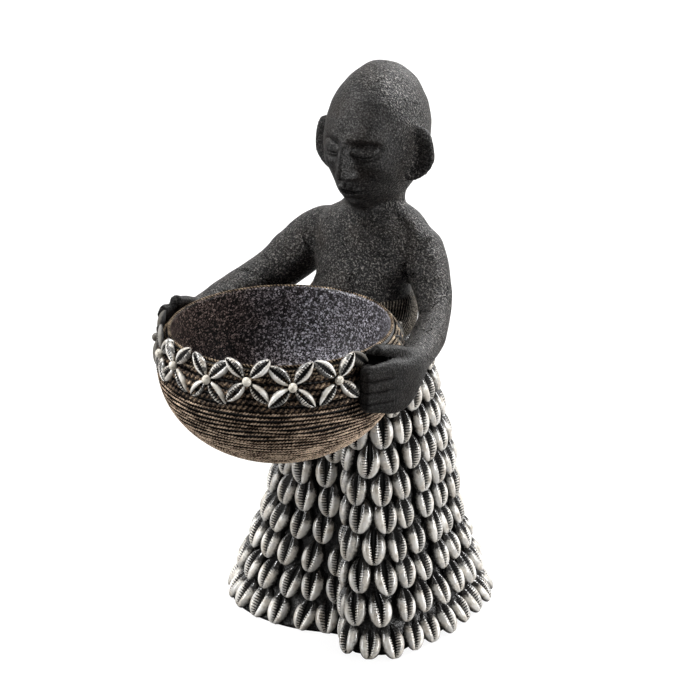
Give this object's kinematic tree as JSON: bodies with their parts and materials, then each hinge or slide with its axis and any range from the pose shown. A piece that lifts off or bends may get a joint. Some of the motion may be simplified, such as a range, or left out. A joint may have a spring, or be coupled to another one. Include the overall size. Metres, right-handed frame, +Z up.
{
  "type": "bowl-bearing figurine",
  "caption": "Standing bald figure in a long skirt of cowrie shells, holding a wide round bowl banded with shell flowers and wound twine out in front of it.",
  "frame": {"origin": "middle of the skirt's flat underside", "axes": "+Z up through the head, -Y the way the figure faces and holds the bowl, +X towards its left hand"},
  "size_m": [0.1967, 0.2918, 0.4069],
  "materials": {
    "sand_resin": "charcoal, sand-textured, finely cracked",
    "shell_resin": "ivory gloss with black antiquing in the slits and hollows",
    "twine_resin": "moulded twine, dry-brushed tan over black",
    "bowl_resin": "satin, dark with a fine light speckle",
    "bead_resin": "ivory gloss"
  },
  "bodies": {
    "root": {"figurine": "sand_resin"}
  },
  "joints": []
}
